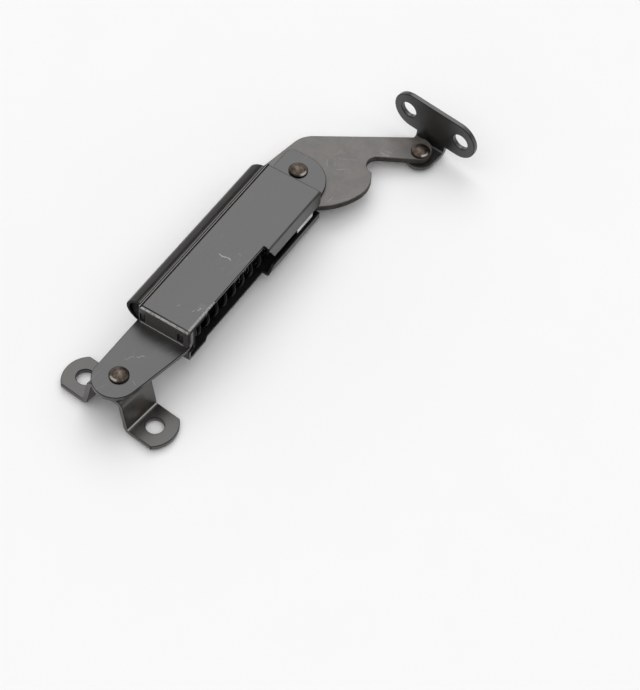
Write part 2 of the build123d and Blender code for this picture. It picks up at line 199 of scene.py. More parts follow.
def grid_faces(rows, columns, first_pole, last_pole):
    """Quads of a grid that closes round its columns, with a fan on a pole vertex at each end.

    Vertex (i, j) has number i * columns + j; the poles come after the grid."""
    i, j = np.meshgrid(np.arange(rows - 1), np.arange(columns), indexing="ij")
    here, right = i * columns + j, i * columns + (j + 1) % columns
    quads = np.stack([here, right, right + columns, here + columns], -1)
    around = np.arange(columns)
    after = (around + 1) % columns
    first = np.stack([np.full(columns, first_pole), after, around], -1)
    last_row = (rows - 1) * columns
    last = np.stack([np.full(columns, last_pole), last_row + around, last_row + after], -1)
    return quads.reshape(-1, 4).tolist() + first.tolist() + last.tolist()


def turned_piece(name, profile, centre):
    """A turned piece: each profile point (r, z) goes round as centre + (r cos a, r sin a, z).

    The profile runs from the axis to the axis; its first and last points are the poles."""
    turn = np.linspace(0, 2 * math.pi, RIVET_SIDES, endpoint=False)
    radius, height = profile[1:-1, 0], profile[1:-1, 1]
    ring = np.stack([np.outer(radius, np.cos(turn)), np.outer(radius, np.sin(turn)),
                     np.repeat(height[:, None], RIVET_SIDES, 1)], -1).reshape(-1, 3)
    poles = np.array([[0, 0, profile[0, 1]], [0, 0, profile[-1, 1]]])
    vertices = np.vstack([ring, poles]) + np.array([centre[0], centre[1], 0.0])
    faces = grid_faces(len(radius), RIVET_SIDES, len(ring), len(ring) + 1)
    return mesh_piece(name, vertices, faces)


def tube_piece(name, path, radius):
    """A round wire: each path point plus radius * (cos b * side + sin b * up), square to it."""
    along = np.gradient(path, axis=0)
    along /= np.linalg.norm(along, axis=1, keepdims=True)
    side = np.cross(along, np.array([0.0, 1.0, 0.0]))
    side /= np.linalg.norm(side, axis=1, keepdims=True)
    up = np.cross(along, side)
    turn = np.linspace(0, 2 * math.pi, WIRE_SIDES, endpoint=False)
    ring = path[:, None] + radius * (np.cos(turn)[None, :, None] * side[:, None]
                                     + np.sin(turn)[None, :, None] * up[:, None])
    vertices = np.vstack([ring.reshape(-1, 3), path[:1], path[-1:]])
    count = len(path) * WIRE_SIDES
    return mesh_piece(name, vertices, grid_faces(len(path), WIRE_SIDES, count, count + 1))


def arc(centre, radius, start, end, steps):
    """Points of a circle's arc in the plane (r, z), from one angle to the other, in degrees."""
    angle = np.radians(np.linspace(start, end, steps))
    return np.stack([centre[0] + radius * np.cos(angle), centre[1] + radius * np.sin(angle)], -1)


def rounded_copy(node, body, edge_round):
    """A welded copy of a solid, in its place, with flat faces joined and sharp edges rounded.

    The rounded edges take the piece's second finish."""
    piece = bpy.data.objects.new(node + "_dressed", welded_mesh(node))
    bpy.context.scene.collection.objects.link(piece)
    bevel = piece.modifiers.new("edge round", "BEVEL")
    bevel.width = edge_round
    bevel.segments = EDGE_STEPS
    bevel.limit_method = "WEIGHT"
    bevel.use_clamp_overlap = False
    bevel.harden_normals = True
    bevel.material = 1
    flat = piece.modifiers.new("flat faces", "WEIGHTED_NORMAL")
    flat.keep_sharp = True
    flat.weight = 100
    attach(piece, body)
    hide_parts(node)
    return piece


def welded_mesh(node):
    """The solid's mesh, welded, with coplanar triangles joined and the edges to round marked."""
    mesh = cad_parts[node].data.copy()
    mesh.materials.clear()
    work = bmesh.new()
    work.from_mesh(mesh)
    bmesh.ops.remove_doubles(work, verts=work.verts, dist=WELD_DISTANCE)
    bmesh.ops.dissolve_limit(work, angle_limit=FLAT_ANGLE, verts=work.verts, edges=work.edges)
    angle = np.array([edge.calc_face_angle(0.0) for edge in work.edges])
    work.to_mesh(mesh)
    work.free()
    marked_sharp = mesh.attributes.get("sharp_edge")
    if marked_sharp is not None:
        mesh.attributes.remove(marked_sharp)
    mesh.polygons.foreach_set("use_smooth", np.full(len(mesh.polygons), True))
    mesh.set_sharp_from_angle(angle=SHARP_ANGLE)
    weight = mesh.attributes.new("bevel_weight_edge", "FLOAT", "EDGE")
    weight.data.foreach_set("value", edges_to_round(node, mesh, angle).astype(np.float32))
    mesh.update()
    return mesh


def edges_to_round(node, mesh, angle):
    """Which edges to round: the sharp ones, but for very short ones and the groove's.

    The two creases across the case's front face are rounded too."""
    ends = np.empty(len(mesh.edges) * 2, np.int32)
    place = np.empty(len(mesh.vertices) * 3)
    mesh.edges.foreach_get("vertices", ends)
    mesh.vertices.foreach_get("co", place)
    first, second = place.reshape(-1, 3)[ends.reshape(-1, 2)].transpose(1, 0, 2)
    length = np.linalg.norm(second - first, axis=1)
    rounded = (angle > ROUNDED_ANGLE) & (length > SHORTEST_ROUNDED)
    if node == "spring_case":
        x, y, z = ((first + second) / 2).T
        half_groove, groove_foot = GROOVE_EDGES
        rounded &= (abs(x - FOLD_AXIS[0]) > half_groove) | (z < groove_foot)
        creased = np.any([abs(y - crease) < CREASE_REACH for crease in CREASES], axis=0)
        rounded |= creased & (z > FACE_TOP - FACE_REACH) & (x > FOLD_AXIS[0] + CREASE_START)
    return rounded


def faces_of(piece):
    """The centre and the normal of each face of a piece, as two arrays of rows."""
    arrays = []
    for field in ("center", "normal"):
        values = np.empty(len(piece.data.polygons) * 3)
        piece.data.polygons.foreach_get(field, values)
        arrays.append(values.reshape(-1, 3))
    return arrays


def paint(piece, finishes, chosen=None):
    """Gives a piece its finishes (face, rounded edge, then others).

    chosen holds the number of the finish of each face."""
    piece.data.materials.clear()
    for material in finishes:
        piece.data.materials.append(material)
    if chosen is not None:
        piece.data.polygons.foreach_set("material_index", chosen)


# Material tools

def principled(name):
    """A new node material: its tree, its shader, and the piece's own coordinates."""
    material = bpy.data.materials.new(name)
    material.use_nodes = True
    tree = material.node_tree
    shader = next(n for n in tree.nodes if n.type == "BSDF_PRINCIPLED")
    place = tree.nodes.new("ShaderNodeTexCoord")
    return material, tree, shader, place.outputs["Object"]


def mapped(tree, place, turn=(0, 0, 0), scale=(1, 1, 1), shift=(0, 0, 0)):
    """The coordinates scaled, turned in degrees and shifted."""
    node = tree.nodes.new("ShaderNodeMapping")
    node.inputs["Location"].default_value = shift
    node.inputs["Rotation"].default_value = [math.radians(a) for a in turn]
    node.inputs["Scale"].default_value = scale
    tree.links.new(place, node.inputs["Vector"])
    return node.outputs["Vector"]


def noise(tree, place, scale, detail, roughness=0.55):
    """Cloudy noise; scale is in patterns per metre."""
    node = tree.nodes.new("ShaderNodeTexNoise")
    node.inputs["Scale"].default_value = scale
    node.inputs["Detail"].default_value = detail
    node.inputs["Roughness"].default_value = roughness
    tree.links.new(place, node.inputs["Vector"])
    return node.outputs["Fac"]


def cell_lines(tree, place):
    """Distance to the borders of random cells one unit wide, which are thin lines once cut low."""
    node = tree.nodes.new("ShaderNodeTexVoronoi")
    node.feature = "DISTANCE_TO_EDGE"
    node.inputs["Scale"].default_value = 1.0
    tree.links.new(place, node.inputs["Vector"])
    return node.outputs["Distance"]


def levels(tree, value, low, high, to_low=0.0, to_high=1.0):
    """Maps low..high to to_low..to_high, smoothly, and holds it there outside."""
    node = tree.nodes.new("ShaderNodeMapRange")
    node.interpolation_type = "SMOOTHSTEP"
    node.inputs["From Min"].default_value = low
    node.inputs["From Max"].default_value = high
    node.inputs["To Min"].default_value = to_low
    node.inputs["To Max"].default_value = to_high
    tree.links.new(value, node.inputs["Value"])
    return node.outputs["Result"]


def sums(tree, kind, a, b=0.0):
    """A Math node of one kind on one or two values, each a socket or a number."""
    node = tree.nodes.new("ShaderNodeMath")
    node.operation = kind
    for slot, value in zip(node.inputs, (a, b)):
        if isinstance(value, (int, float)):
            slot.default_value = value
        else:
            tree.links.new(value, slot)
    return node.outputs[0]


def times(tree, a, b):
    """The product of two values."""
    return sums(tree, "MULTIPLY", a, b)


def most(tree, shares):
    """The largest of some shares."""
    top = shares[0]
    for share in shares[1:]:
        top = sums(tree, "MAXIMUM", top, share)
    return top


def blend(tree, share, a, b):
    """Colour a at share 0 and b at share 1; each is a socket or three numbers."""
    node = tree.nodes.new("ShaderNodeMix")
    node.data_type = "RGBA"
    tree.links.new(share, node.inputs["Factor"])
    for slot, value in ((node.inputs[6], a), (node.inputs[7], b)):
        if isinstance(value, bpy.types.NodeSocket):
            tree.links.new(value, slot)
        else:
            slot.default_value = (*value, 1)
    return node.outputs[2]


def bump(tree, shader, height, distance):
    """Feeds a height, of the given depth in metres, to the shader's normal."""
    node = tree.nodes.new("ShaderNodeBump")
    node.inputs["Distance"].default_value = distance
    tree.links.new(height, node.inputs["Height"])
    tree.links.new(node.outputs["Normal"], shader.inputs["Normal"])


def scaled(colour, factor):
    """A colour made lighter or darker."""
    return tuple(min(1.0, c * factor) for c in colour)


def band(tree, value, low, high, soft):
    """1 where a value lies between low and high, falling to 0 over soft on each side."""
    rising = levels(tree, value, low - soft, low)
    return times(tree, rising, levels(tree, value, high, high + soft, 1.0, 0.0))


def axes(tree, place):
    """The three coordinates of a place."""
    node = tree.nodes.new("ShaderNodeSeparateXYZ")
    tree.links.new(place, node.inputs[0])
    return node.outputs


def turned_to(tree, place, middle, turn):
    """Coordinates with their origin at (x, y) and their x axis turned by some degrees."""
    angle = math.radians(turn)
    shift = (-math.cos(angle) * middle[0] - math.sin(angle) * middle[1],
             math.sin(angle) * middle[0] - math.cos(angle) * middle[1], 0)
    return mapped(tree, place, (0, 0, -turn), shift=shift)


MARK_SOFT = 0.00012


def boxes(tree, place, marks):
    """A share for each mark (low, high, share), which holds inside its box and is 0 outside."""
    shares = []
    for low, high, share in marks:
        x, y, z = (band(tree, value, least, greatest, MARK_SOFT)
                   for value, least, greatest in zip(axes(tree, place), low, high))
        shares.append(times(tree, share, times(tree, times(tree, x, y), z)))
    return shares


def stroke(tree, place, middle, turn, length, width, curl):
    """A short scratch: 1 near y = curl * sin(2 pi x / length), in coordinates set on its middle."""
    x, y, _ = axes(tree, turned_to(tree, place, middle, turn))
    wave = times(tree, sums(tree, "SINE", times(tree, x, 2 * math.pi / length)), curl)
    line = band(tree, sums(tree, "SUBTRACT", y, wave), -width / 4, width / 4, width / 2)
    return times(tree, line, band(tree, x, -length * 0.4, length * 0.4, length * 0.12))


def hairlines(tree, place, turn, density, stretch, thin, patch_scale, patch_from):
    """Fine scratches: cell borders in stretched coordinates, kept only inside noise patches.

    The turn also shifts the patches, so that two sets of lines lie apart."""
    lines = cell_lines(tree, mapped(tree, place, turn, (density, density * stretch, density)))
    thin_lines = levels(tree, lines, 0.0, thin, 1.0, 0.0)
    clouds = noise(tree, mapped(tree, place, shift=turn), patch_scale, detail=2.0)
    return times(tree, thin_lines, levels(tree, clouds, patch_from, patch_from + 0.08))


# Finishes

# Bare metal where the finish is rubbed off on the sheet pieces, which also serves as a painted
# highlight on the case's lower bend and the wall bracket's wing, and the painted highlight on the
# rivets' rims
RUBBED_AND_HIGHLIGHT = (0.41, 0.395, 0.375)
BRONZE_HIGHLIGHT = (0.55, 0.52, 0.48)

# A painted highlight, a lighter line on the fold beside the groove: its two sides, as x, and how
# softly it ends
FOLD_HIGHLIGHT = (-0.00650, -0.00622, 0.00025)


def coat(name, colour, index, roughness, mottle, grain, scratch, shift,
         marks=(), strokes=(), turn=0.0):
    """A black finish on sheet steel: cloudy tone, fine grain, a few hairlines, rubbed places and
    painted highlights.

    mottle is how far the tone swings, grain the depth of the fine bump, scratch the share of the
    hairlines and shift the offset of the patterns. marks are boxes (low, high, share) and strokes
    are scratches (middle, turn, length, width, curl, share). turn turns both, in degrees."""
    material, tree, shader, place = principled(name)
    here = mapped(tree, place, shift=shift)
    clouds = noise(tree, here, 210, detail=5.0, roughness=0.62)
    fine = noise(tree, here, 2600, detail=3.0, roughness=0.6)
    toned = blend(tree, levels(tree, clouds, 0.3, 0.7),
                  scaled(colour, 1 - mottle), scaled(colour, 1 + mottle))
    speckled = blend(tree, levels(tree, fine, 0.45, 0.8, 0.0, mottle), toned, scaled(colour, 2.0))
    rising = hairlines(tree, here, turn=(0, 0, 28), density=520, stretch=0.16, thin=0.03,
                       patch_scale=70, patch_from=0.60)
    falling = hairlines(tree, here, turn=(0, 0, -63), density=420, stretch=0.14, thin=0.025,
                        patch_scale=60, patch_from=0.62)
    wear_and_highlight = lines = times(tree, scratch, most(tree, [rising, falling]))
    local = turned_to(tree, place, (0, 0), turn)
    # The boxes hold rubbed places and painted highlights, which both blend towards the same light
    # colour
    shares = boxes(tree, local, marks)
    shares += [times(tree, share, stroke(tree, local, *shape)) for *shape, share in strokes]
    if shares:
        broken = levels(tree, noise(tree, here, 1500, detail=3.0, roughness=0.6),
                        0.34, 0.56, 0.35, 1.0)
        wear_and_highlight = most(tree, [lines, times(tree, broken, most(tree, shares))])
    tree.links.new(blend(tree, wear_and_highlight, speckled, RUBBED_AND_HIGHLIGHT), shader.inputs["Base Color"])
    tree.links.new(levels(tree, clouds, 0.25, 0.75, roughness * 0.9, roughness * 1.12),
                   shader.inputs["Roughness"])
    shader.inputs["IOR"].default_value = index
    bump(tree, shader, sums(tree, "SUBTRACT", fine, times(tree, lines, 0.6)), grain)
    return material


def worn_edge(name, colour, index, shift, marks=()):
    """The dull finish on a cut edge, rubbed bright only inside some boxes and in rare specks."""
    material, tree, shader, place = principled(name)
    spots = noise(tree, mapped(tree, place, shift=shift), 900, detail=5.0, roughness=0.7)
    wear_and_highlight = levels(tree, spots, 0.70, 0.76, 0.0, 0.8)
    if marks:
        broken = levels(tree, spots, 0.35, 0.55, 0.4, 1.0)
        wear_and_highlight = most(tree, [wear_and_highlight, times(tree, most(tree, boxes(tree, place, marks)), broken)])
    dull = blend(tree, levels(tree, spots, 0.3, 0.7), scaled(colour, 0.7), scaled(colour, 1.3))
    tree.links.new(blend(tree, wear_and_highlight, dull, RUBBED_AND_HIGHLIGHT), shader.inputs["Base Color"])
    shader.inputs["Roughness"].default_value = 0.4
    shader.inputs["IOR"].default_value = index
    bump(tree, shader, spots, 0.00001)
    return material


def drawn_tone(tree, clouds, lines, colour, tone):
    """The colour of drawn or rolled metal: clouds and fine lines swing it by the share tone."""
    mixed = sums(tree, "ADD", times(tree, clouds, 0.6), times(tree, lines, 0.4))
    return blend(tree, levels(tree, mixed, 0.35, 0.65),
                 scaled(colour, 1 - tone), scaled(colour, 1 + tone))


def plain_metal(name, colour, roughness, brush_turn, tone):
    """Drawn or rolled metal: fine lines along one way and a cloudy tone."""
    material, tree, shader, place = principled(name)
    clouds = noise(tree, place, 500, detail=4.0, roughness=0.6)
    brushed = noise(tree, mapped(tree, place, brush_turn, (6000, 200, 6000)), 1.0, detail=3.0)
    tree.links.new(drawn_tone(tree, clouds, brushed, colour, tone), shader.inputs["Base Color"])
    shader.inputs["Metallic"].default_value = 1.0
    tree.links.new(levels(tree, clouds, 0.3, 0.7, roughness * 0.85, roughness * 1.15),
                   shader.inputs["Roughness"])
    bump(tree, shader, brushed, 0.000006)
    return material


def fold_coat(name, colour, tint):
    """The finish where the sheet is drawn round the fold, smoother than on the flat faces, with a
    painted highlight in a line beside the groove.

    tint is how much light it keeps at a slant."""
    material, tree, shader, place = principled(name)
    clouds = noise(tree, place, 220, detail=5.0, roughness=0.6)
    drawn = noise(tree, mapped(tree, place, scale=(2600, 90, 2600)), 1.0, detail=3.0)
    toned = drawn_tone(tree, clouds, drawn, colour, 0.1)
    # Painted highlight: the base colour is 2.3 times lighter in a line beside the groove
    groove_highlight = band(tree, axes(tree, place)[0], *FOLD_HIGHLIGHT)
    tree.links.new(blend(tree, groove_highlight, toned, scaled(colour, 2.3)),
                   shader.inputs["Base Color"])
    shader.inputs["Metallic"].default_value = 1.0
    shader.inputs["Specular Tint"].default_value = (tint, tint, tint, 1)
    tree.links.new(levels(tree, clouds, 0.3, 0.7, 0.17, 0.23), shader.inputs["Roughness"])
    bump(tree, shader, drawn, 0.000002)
    return material


def shade_black(name, colour, roughness, shift=(0, 0, 0)):
    """Painted shade: a thin, dull black finish that returns hardly any light, with clouds and a
    fine grain.
    """
    material, tree, shader, place = principled(name)
    clouds = noise(tree, mapped(tree, place, shift=shift), 400, detail=4.0, roughness=0.6)
    toned = blend(tree, levels(tree, clouds, 0.3, 0.7), scaled(colour, 0.6), scaled(colour, 1.4))
    tree.links.new(toned, shader.inputs["Base Color"])
    shader.inputs["Roughness"].default_value = roughness
    shader.inputs["IOR"].default_value = 1.2
    bump(tree, shader, clouds, 0.00001)
    return material


def rivet_finish(name, colour, centre, head, highlight_toward):
    """Dark bronze, mottled in small clouds, with a painted highlight crescent on one side of the
    head's rim and painted shade on the rim's outer edge.

    The crescent is where the distance from the axis is near the head's radius and the way from the
    axis points to highlight_toward, in degrees."""
    material, tree, shader, place = principled(name)
    local = turned_to(tree, place, centre, highlight_toward)
    clouds = noise(tree, local, 900, detail=4.0, roughness=0.65)
    fine = noise(tree, local, 3500, detail=2.0, roughness=0.6)
    toned = blend(tree, levels(tree, clouds, 0.34, 0.66),
                  scaled(colour, 0.62), scaled(colour, 1.45))
    x, y, _ = axes(tree, local)
    reach = sums(tree, "SQRT", sums(tree, "ADD", times(tree, x, x), times(tree, y, y)))
    rim = band(tree, reach, head * 0.80, head * 0.90, head * 0.07)
    toward = sums(tree, "DIVIDE", x, sums(tree, "MAXIMUM", reach, 1e-5))
    # Painted highlight: a lighter bronze crescent on one side of the head's rim
    highlight_crescent = times(tree, times(tree, rim, levels(tree, toward, 0.80, 0.97)),
                     levels(tree, fine, 0.3, 0.5, 0.5, 1.0))
    # Painted shade: the head's outer rim darkened to a quarter of the colour
    rim_shaded = blend(tree, levels(tree, reach, head * 0.84, head * 0.99), toned, scaled(colour, 0.25))
    tree.links.new(blend(tree, highlight_crescent, rim_shaded, BRONZE_HIGHLIGHT), shader.inputs["Base Color"])
    shader.inputs["Metallic"].default_value = 1.0
    tree.links.new(levels(tree, fine, 0.3, 0.7, 0.34, 0.46), shader.inputs["Roughness"])
    bump(tree, shader, sums(tree, "ADD", clouds, times(tree, fine, 0.3)), 0.00003)
    return material


def table_finish(colour):
    """A plain pale table with a barely visible grain."""
    material, tree, shader, place = principled("table_finish")
    tone = levels(tree, noise(tree, place, 40, detail=2.0), 0.3, 0.7)
    tree.links.new(blend(tree, tone, scaled(colour, 0.995), colour), shader.inputs["Base Color"])
    shader.inputs["Roughness"].default_value = 0.9
    shader.inputs["Specular IOR Level"].default_value = 0.1
    return material


# Pieces

# Rubbed places and a painted highlight: marks are boxes (low, high, share), strokes are scratches
# (middle, turn in degrees, length, width, curl, share). The case's marks are a painted highlight
# along its lower bend, then rubbed places on the flange's lower edge, the flange, the open edge
# and a scuff beside it.
CASE_WEAR_AND_HIGHLIGHT = (
    # Painted highlight along the front face's lower bend
    ((-0.0058, 0.0179, 0.0200), (0.0100, 0.01832, 0.0207), 0.90),
    ((-0.0058, 0.0178, 0.0134), (0.0085, 0.0182, 0.0142), 2.00),
    ((-0.0064, 0.0178, 0.0137), (0.0102, 0.0182, 0.0201), 0.09),
    ((0.0096, 0.0186, 0.0202), (0.0101, 0.0300, 0.0210), 0.45),
    ((0.0072, 0.0262, 0.0202), (0.0100, 0.0288, 0.0210), 0.06),
)
CASE_STROKES = (
    ((0.00330, 0.04577), 176, 0.0042, 0.00030, 0.00030, 0.80),
    ((0.00800, 0.02660), 75, 0.0014, 0.00024, 0.00004, 0.75),
    ((0.00700, 0.02520), 60, 0.0012, 0.00016, 0.00005, 0.40),
    ((0.00250, 0.02450), 60, 0.0010, 0.00022, 0.00003, 0.35),
    ((-0.0052, 0.03900), 80, 0.0012, 0.00016, 0.00003, 0.40),
)
CASE_EDGE_MARKS = (
    ((-0.0060, 0.0177, 0.0134), (0.0102, 0.0184, 0.0142), 0.90),
    ((0.0098, 0.0184, 0.0200), (0.0103, 0.0310, 0.0209), 0.80),
    ((0.0113, 0.0552, 0.0190), (0.0123, 0.0562, 0.0209), 1.00),
)
TONGUE_STROKES = (
    ((0.00110, 0.00850), 30, 0.0024, 0.00018, 0.00030, 0.55),
    ((-0.0012, 0.00640), 45, 0.0028, 0.00016, 0.00030, 0.45),
    ((0.00480, 0.00031), -38, 0.0016, 0.00014, 0.00010, 0.40),
    ((0.00720, 0.01450), 55, 0.0018, 0.00016, 0.00005, 0.20),
)
LEVER_STROKES = (
    ((0.00958, 0.09668), 35, 0.0030, 0.00022, 0.00006, 0.35),
    ((0.00473, 0.09638), 115, 0.0032, 0.00050, 0.00010, 0.16),
    ((0.00640, 0.09800), 120, 0.0036, 0.00040, 0.00010, 0.12),
    ((0.01311, 0.08539), 70, 0.0020, 0.00024, 0.00006, 0.30),
    ((0.01704, 0.11034), 10, 0.0022, 0.00040, 0.00010, 0.20),
    ((0.01550, 0.08650), 42, 0.0080, 0.00060, 0.00020, 0.10),
    ((0.00900, 0.10100), 25, 0.0060, 0.00070, 0.00020, 0.08),
)

# A painted highlight along the wall bracket's upper edge on its right wing, in the bracket's own
# axes
WALL_HIGHLIGHT = (
    ((0.00808, -0.0062, 0.00166), (0.00826, 0.0062, 0.0018), 2.60),
)

FOLD_COLOUR, FOLD_TINT = (0.064, 0.0625, 0.061), 0.58
# Painted shade: the plates at the springs' ends, nearly black
PLATE_SHADE = (0.0080, 0.0078, 0.0075)
# Dark spring wire, darkened further as painted shade inside the case
WIRE_COLOUR_AND_SHADE = (0.0065, 0.0062, 0.0060)

# How much redder the wall bracket's finish is than the case's, for each colour
WALL_CAST = (1.45, 1.25, 1.1)

# A face lies along an axis where the axis takes less than this share of its normal
ALONG = 0.3


def case_finishes(case):
    """The finish of each face of the case: 1 in the groove, 2 on the fold, 3 for the painted shade
    inside, or 0.
    """
    centre, normal = faces_of(case)
    x, _, z = centre.T
    from_axis = np.hypot(x - FOLD_AXIS[0], z - FOLD_AXIS[1])
    on_fold = (x < FOLD_AXIS[0] - FOLD_START) & (from_axis > FOLD_OUTER)
    on_fold &= abs(normal[:, 1]) < ALONG
    inside_shade = np.all((centre > CASE_INSIDE[0]) & (centre < CASE_INSIDE[1]), axis=1)
    inside_shade &= (x > FOLD_AXIS[0]) | (from_axis < FOLD_INNER)
    half_groove, groove_foot = GROOVE_FACES
    in_groove = (abs(x - FOLD_AXIS[0]) < half_groove) & (z > groove_foot)
    in_groove &= z < FACE_TOP - FACE_REACH
    return np.select([in_groove, on_fold, inside_shade], [1, 2, 3], 0).astype(np.int32)


class LIDSUPPORT_OT_case(bpy.types.Operator):
    """Dresses the folded spring case with its ears, and the tongue that comes out of it"""
    bl_idname = "lid_support.case"
    bl_label = "Spring case and tongue"

    def execute(self, context):
        finish = context.scene.lid_finish
        colour = tuple(finish.coat_colour)
        case = rounded_copy("spring_case", CASE, finish.edge_round)
        paint(case, [
            coat("case_coat", colour, finish.coat_index, roughness=0.30, mottle=0.45,
                 grain=0.0000035, scratch=0.12, shift=(0.013, 0, 0),
                 marks=CASE_WEAR_AND_HIGHLIGHT, strokes=CASE_STROKES),
            worn_edge("case_edge", colour, finish.edge_index, (0, 0, 0), CASE_EDGE_MARKS),
            fold_coat("fold_coat", FOLD_COLOUR, FOLD_TINT),
            # Painted shade: the inside of the case, darker and duller than its coat
            shade_black("case_inside", scaled(colour, 0.6), roughness=0.6),
        ], case_finishes(case))
        tongue = rounded_copy("tongue", CASE, finish.edge_round)
        paint(tongue, [
            coat("tongue_coat", colour, finish.coat_index, roughness=0.32, mottle=0.35,
                 grain=0.000003, scratch=0.10, shift=(0.3, 0.1, 0), strokes=TONGUE_STROKES),
            worn_edge("tongue_edge", colour, finish.edge_index, (0.2, 0, 0)),
        ])
        return {"FINISHED"}


class LIDSUPPORT_OT_lever(bpy.types.Operator):
    """Dresses the stamped cam lever in its matt, mottled finish, with painted shade on its sides"""
    bl_idname = "lid_support.lever"
    bl_label = "Cam lever"

    def execute(self, context):
        finish = context.scene.lid_finish
        colour = tuple(finish.lever_colour)
        lever = rounded_copy("cam_lever", LEVER, finish.edge_round)
        _, normal = faces_of(lever)
        shaded_side = np.where(abs(normal[:, 2]) < ALONG, 2, 0).astype(np.int32)
        paint(lever, [
            coat("lever_coat", colour, finish.coat_index, roughness=0.42, mottle=0.34,
                 grain=0.000012, scratch=0.25, shift=(0.1, 0.4, 0), strokes=LEVER_STROKES),
            worn_edge("lever_edge", colour, finish.edge_index, (0.5, 0, 0)),
            # Painted shade: the lever's sides, darker and duller than its top
            shade_black("lever_side", scaled(colour, 0.45), roughness=0.5, shift=(0.5, 0, 0)),
        ], shaded_side)
        return {"FINISHED"}


class LIDSUPPORT_OT_brackets(bpy.types.Operator):
    """Dresses the wall bracket and the lid bracket"""
    bl_idname = "lid_support.brackets"
    bl_label = "Wall and lid brackets"

    def execute(self, context):
        finish = context.scene.lid_finish
        colour = tuple(finish.coat_colour)
        brown = tuple(c * cast for c, cast in zip(colour, WALL_CAST))
        wall = rounded_copy("wall_bracket", WALL, finish.edge_round)
        paint(wall, [
            coat("wall_bracket_coat", brown, finish.coat_index, roughness=0.30, mottle=0.55,
                 grain=0.000006, scratch=0.12, shift=(0.7, 0.2, 0),
                 marks=WALL_HIGHLIGHT, turn=math.degrees(BRACKET_TURN)),
            worn_edge("wall_bracket_edge", colour, finish.edge_index, (0.7, 0.2, 0)),
        ])
        lid = rounded_copy("lid_bracket", LID, finish.edge_round)
        paint(lid, [
            coat("lid_bracket_coat", colour, finish.coat_index, roughness=0.30, mottle=0.30,
                 grain=0.000004, scratch=0.10, shift=(0.2, 0.8, 0)),
            worn_edge("lid_bracket_edge", colour, finish.edge_index, (0.2, 0.8, 0)),
        ])
        return {"FINISHED"}


class LIDSUPPORT_OT_inner(bpy.types.Operator):
    """Dresses the follower with its prongs, and the plates at the ends of the springs in painted
    shade
    """
    bl_idname = "lid_support.inner"
    bl_label = "Follower and plates"

    def execute(self, context):
        finish = context.scene.lid_finish
        follower = rounded_copy("follower", PUSHER, finish.edge_round)
        bare = plain_metal("follower_steel", tuple(finish.steel_colour), roughness=0.22,
                           brush_turn=(0, 0, 90), tone=0.15)
        paint(follower, [bare, bare])
        plate_shade = shade_black("plate_steel", PLATE_SHADE, roughness=0.6)
        for node, body in (("spring_cap", PUSHER), ("spring_seat", CASE)):
            paint(rounded_copy(node, body, finish.edge_round), [plate_shade, plate_shade])
        return {"FINISHED"}


# Each rivet, the body it rides on and the way its painted highlight crescent lies, in degrees
RIVETS = (("wall_rivet", WALL, 262), ("pivot_rivet", CASE, 350), ("lid_rivet", LEVER, 338))
HEAD_RADIUS = 0.00285
HEAD_HEIGHT = 0.0017
HEAD_RIM = 0.0003
SHANK_RADIUS = 0.00225
BORE_RADIUS = 0.0017
BORE_DEPTH = 0.003
FOOT_HEIGHT = 0.0009
CHAMFER = 0.0001

# How far the head's underside and its side stand inside its radius
HEAD_INSETS = (0.00012, 0.00002)


def rivet_profile(node):
    """Half-section of a rivet, from the bore's end on the axis to the crown of its head.

    Bore, rolled foot as an arc from the bore's mouth to the outer edge, shank, and a domed head."""
    low, high = corners(node)
    foot_radius = (high[0] - low[0]) / 2
    foot, crown = low[2], high[2]
    under_head = crown - HEAD_HEIGHT
    bore_end = foot + BORE_DEPTH
    roll_middle = (BORE_RADIUS + foot_radius) / 2
    roll_radius = (foot_radius - BORE_RADIUS) / 2
    roll = arc((roll_middle, foot + roll_radius), roll_radius, 180, 360, 17)
    rise = HEAD_HEIGHT - HEAD_RIM
    dome_radius = (HEAD_RADIUS ** 2 + rise ** 2) / (2 * rise)
    edge_angle = math.degrees(math.acos(HEAD_RADIUS / dome_radius))
    dome = arc((0, crown - dome_radius), dome_radius, edge_angle, 90, 22)
    return np.vstack([
        [[0, bore_end], [BORE_RADIUS * 0.9, bore_end], [BORE_RADIUS, bore_end - CHAMFER]],
        roll,
        [[foot_radius, foot + FOOT_HEIGHT * 0.85], [foot_radius - CHAMFER, foot + FOOT_HEIGHT]],
        [[SHANK_RADIUS, foot + FOOT_HEIGHT], [SHANK_RADIUS, under_head]],
        [[HEAD_RADIUS - HEAD_INSETS[0], under_head],
         [HEAD_RADIUS - HEAD_INSETS[1], under_head + CHAMFER]],
        dome,
    ])


class LIDSUPPORT_OT_rivets(bpy.types.Operator):
    """Turns the three rivets with domed heads and rolled tubular feet"""
    bl_idname = "lid_support.rivets"
    bl_label = "Rivets"

    def execute(self, context):
        colour = tuple(context.scene.lid_finish.rivet_colour)
        for node, body, highlight_toward in RIVETS:
            low, high = corners(node)
            middle = (low + high) / 2
            piece = turned_piece(node + "_dressed", rivet_profile(node), middle)
            bronze = rivet_finish(node + "_bronze", colour, (middle[0], middle[1]), HEAD_RADIUS,
                                  highlight_toward)
            paint(piece, [bronze])
            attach(piece, body)
            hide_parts(node)
        return {"FINISHED"}


POINTS_PER_TURN = 48


def wire_height(turn, rise, springs):
    """How far the wire has climbed after some turns: slow end turns, even turns between them."""
    ends, pitch = springs.end_turns, springs.end_pitch
    total = springs.active_turns + 2 * ends
    marks = np.array([0, ends, total - ends, total], float)
    heights = np.array([0, ends * pitch, rise - ends * pitch, rise])
    return np.interp(turn, marks, heights)


